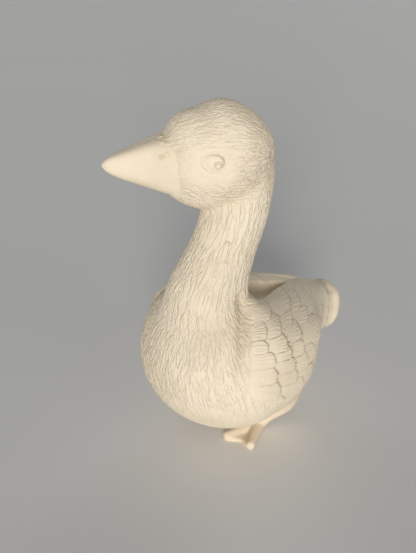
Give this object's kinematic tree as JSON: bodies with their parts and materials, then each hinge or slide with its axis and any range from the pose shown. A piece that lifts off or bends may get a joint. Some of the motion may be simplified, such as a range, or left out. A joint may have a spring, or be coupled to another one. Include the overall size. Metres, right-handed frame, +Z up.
{
  "type": "goose figurine",
  "caption": "Standing goose cast in unglazed ceramic, head turned to its right, with carved folded wings, a blunt tail and webbed feet on flat soles.",
  "frame": {"origin": "On the surface the goose stands on, under the middle of its outline seen from above.", "axes": "+Z up through the head, -Y the way the breast faces, +X the bird's left side."},
  "size_m": [0.1046, 0.1618, 0.2067],
  "materials": {
    "bisque": "matt"
  },
  "bodies": {
    "root": {"goose_figurine": "bisque"}
  },
  "joints": []
}
